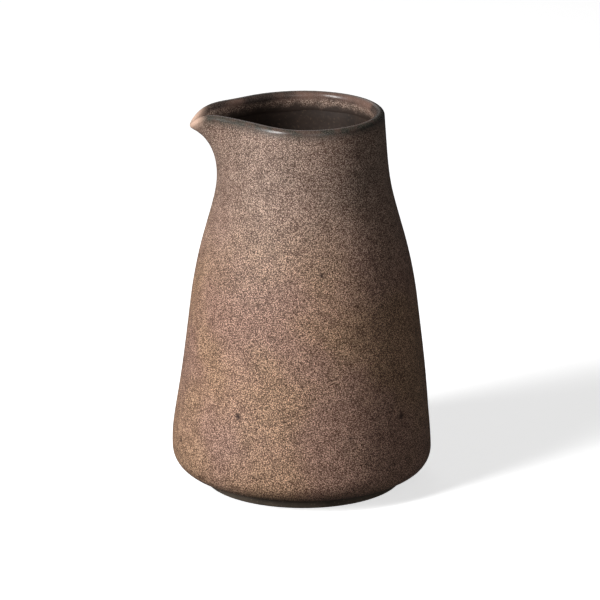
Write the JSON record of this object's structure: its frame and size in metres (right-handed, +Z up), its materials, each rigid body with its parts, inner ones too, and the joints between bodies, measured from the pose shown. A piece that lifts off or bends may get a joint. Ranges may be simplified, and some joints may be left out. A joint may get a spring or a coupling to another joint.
{
  "type": "sake bottle",
  "caption": "Stoneware sake bottle with a wide base, straight tapering wall, open neck and pulled pouring spout, in a speckled matt brown glaze.",
  "frame": {"origin": "centre of the foot ring on the surface the bottle stands on", "axes": "+Z up along the axis the bottle was thrown on, -X towards the pouring spout, +Y to the spout's right when seen from above with the spout pointing away"},
  "size_m": [0.086, 0.086, 0.1269],
  "materials": {
    "bare_clay": "unglazed dark grey-brown stoneware",
    "speckled_glaze": "matt brown glaze with fine pale speckle and a few iron spots",
    "liner_glaze": "smooth satin dark brown liner glaze"
  },
  "bodies": {
    "root": {"clay_body": "bare_clay", "outer_glaze": "speckled_glaze", "lining_glaze": "liner_glaze"}
  },
  "joints": []
}
